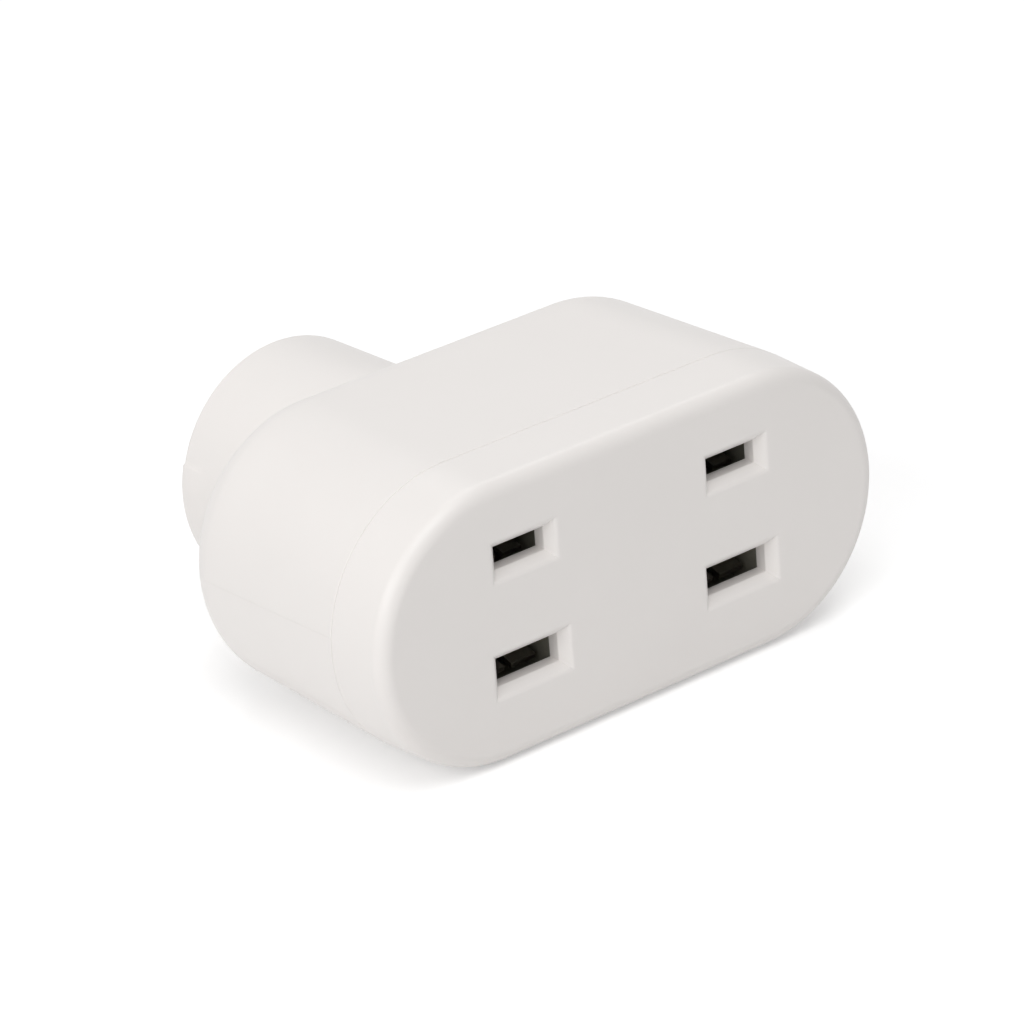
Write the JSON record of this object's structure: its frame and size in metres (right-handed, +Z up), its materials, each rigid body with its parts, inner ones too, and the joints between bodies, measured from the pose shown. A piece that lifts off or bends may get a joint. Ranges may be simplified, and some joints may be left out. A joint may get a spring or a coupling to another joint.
{
  "type": "trailing socket",
  "caption": "Oblong moulded cable-end socket with side-by-side polarised flat-blade outlets and a round cable boss at the rear.",
  "frame": {"origin": "on the floor under the middle of the whole socket, boss included", "axes": "+X along the face to the right seen from the front, +Y from the face to the rear, +Z up"},
  "size_m": [0.0684, 0.0508, 0.032],
  "materials": {
    "housing_plastic": "satin moulded",
    "clamp_plastic": "matt moulded",
    "carrier_plastic": "matt moulded",
    "bush_rubber": "soft matt",
    "brass": "rolled and stamped",
    "spring_bronze": "tinned spring strip",
    "rivet_brass": "headed",
    "screw_steel": "bright zinc"
  },
  "bodies": {
    "root": {"front_cap": "housing_plastic", "rear_body": "housing_plastic", "cord_clamp_bar": "clamp_plastic", "cable_bush": "bush_rubber", "contact_carrier": "carrier_plastic", "live_bus_bar": "brass", "neutral_bus_bar": "brass", "live_terminal": "brass", "neutral_terminal": "brass", "live_clip_left": "spring_bronze", "live_clip_right": "spring_bronze", "neutral_clip_left": "spring_bronze", "neutral_clip_right": "spring_bronze", "live_clip_rivets": "rivet_brass", "neutral_clip_rivets": "rivet_brass", "live_terminal_screw": "screw_steel", "neutral_terminal_screw": "screw_steel", "bus_bar_screws": "screw_steel", "cord_clamp_screws": "screw_steel", "cover_screws": "screw_steel"}
  },
  "joints": []
}
